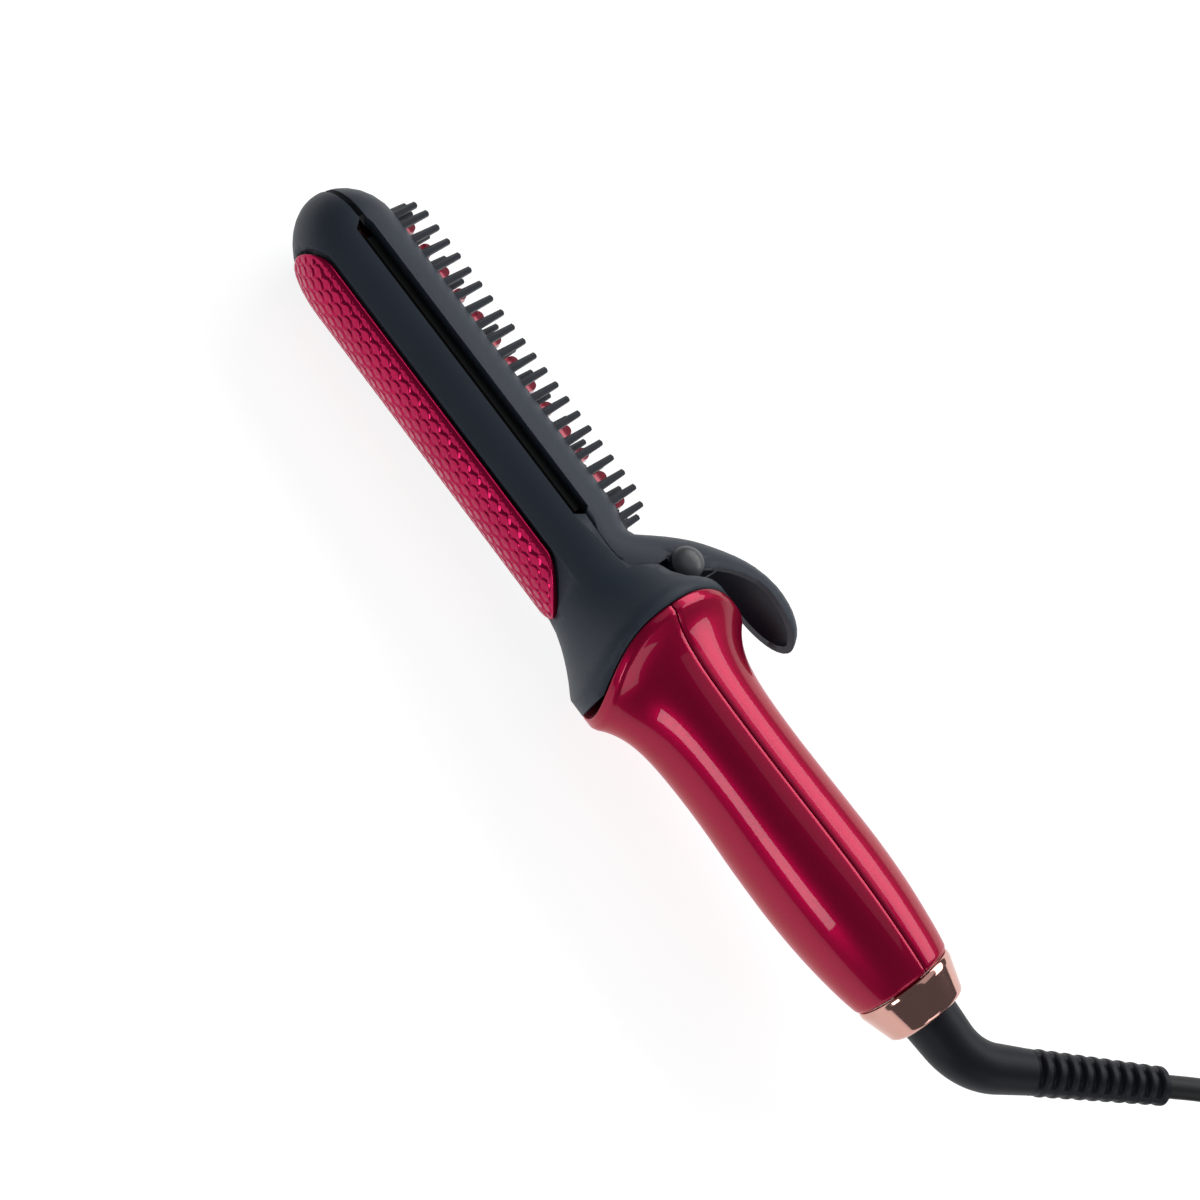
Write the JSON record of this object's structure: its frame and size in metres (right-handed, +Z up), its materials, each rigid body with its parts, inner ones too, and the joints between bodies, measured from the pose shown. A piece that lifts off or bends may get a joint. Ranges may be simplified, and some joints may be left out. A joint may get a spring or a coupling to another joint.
{
  "type": "heated hair-styling brush",
  "caption": "Round-barrel heated styling brush with a sprung comb arm, straightening plates, scaled curling plate, flared guard, shelled handle and swivelling cord.",
  "frame": {"origin": "bottom centre of the bounding box of the tool without its cord: on the surface it lies on, under the middle of its length and width", "axes": "+X from the nose towards the cord, +Y towards the lever and the teeth, +Z up from the surface the tool lies on, with the visible pin head uppermost"},
  "size_m": [0.4736, 0.1195, 0.0523],
  "materials": {
    "black_plastic": "fine matte moulded",
    "pin_head_plastic": "satin moulded",
    "candy_red_shell": "metallic candy lacquer, glossy",
    "scaled_red_plate": "metallic scaled coating",
    "red_plate": "smooth ceramic-coated metal",
    "rose_gold": "polished rose-gold plating",
    "aluminium": "as extruded",
    "heater_ceramic": "sintered ceramic",
    "steel": "plain ground steel",
    "brass": "plain stamped brass",
    "board_green": "solder mask",
    "switch_black": "fine matte moulded",
    "boot_black": "satin moulded elastomer",
    "cord_black": "matte extruded sheath",
    "tie_black": "woven hook-and-loop strap",
    "lead_insulation": "extruded insulation"
  },
  "bodies": {
    "body": {"barrel_housing": "black_plastic", "curling_plate": "scaled_red_plate", "barrel_core": "aluminium", "lower_heater": "heater_ceramic", "lower_straightening_plate": "red_plate", "hinge_pin": "steel", "hinge_pin_head_near": "pin_head_plastic", "hinge_pin_head_far": "pin_head_plastic", "clamp_spring": "steel", "handle_shell_upper": "candy_red_shell", "handle_shell_lower": "candy_red_shell", "switch_body": "switch_black", "circuit_board": "board_green", "heater_lead_live": "lead_insulation", "heater_lead_neutral": "lead_insulation", "contact_brush_live": "brass", "contact_brush_neutral": "brass", "end_ring": "rose_gold", "cord_lead": "cord_black", "cord_coil": "cord_black", "cord_tie": "tie_black", "cord_tail": "cord_black", "plug_body": "cord_black", "plug_pin_live": "brass", "plug_pin_neutral": "brass"},
    "clamp": {"clamp_arm": "black_plastic", "upper_straightening_plate": "red_plate", "comb_heat_plate": "red_plate", "upper_heater": "heater_ceramic", "comb_cover": "black_plastic"},
    "switch": {"switch_slider": "switch_black"},
    "swivel": {"cord_boot": "boot_black", "slip_ring_live": "brass", "slip_ring_neutral": "brass"}
  },
  "joints": [
    {"name": "clamp_hinge", "type": "hinge", "parent": "body", "child": "clamp", "pos_m": [-0.02355, 0.00801, 0.02573], "axis": [0.063, 0, -0.998], "range_deg": [0, 24], "stiffness_Nm_per_rad": 0.5, "springref_deg": -22.92, "deforming": ["clamp_spring"]},
    {"name": "cord_swivel", "type": "hinge", "parent": "body", "child": "swivel", "pos_m": [0.10738, -0.01059, 0.03399], "axis": [0.998, 0, 0.063], "continuous": true, "deforming": ["cord_lead"]},
    {"name": "switch_slide", "type": "slide", "parent": "body", "child": "switch", "axis": [0.998, 0, 0.063], "range_m": [0, 0.004]}
  ]
}
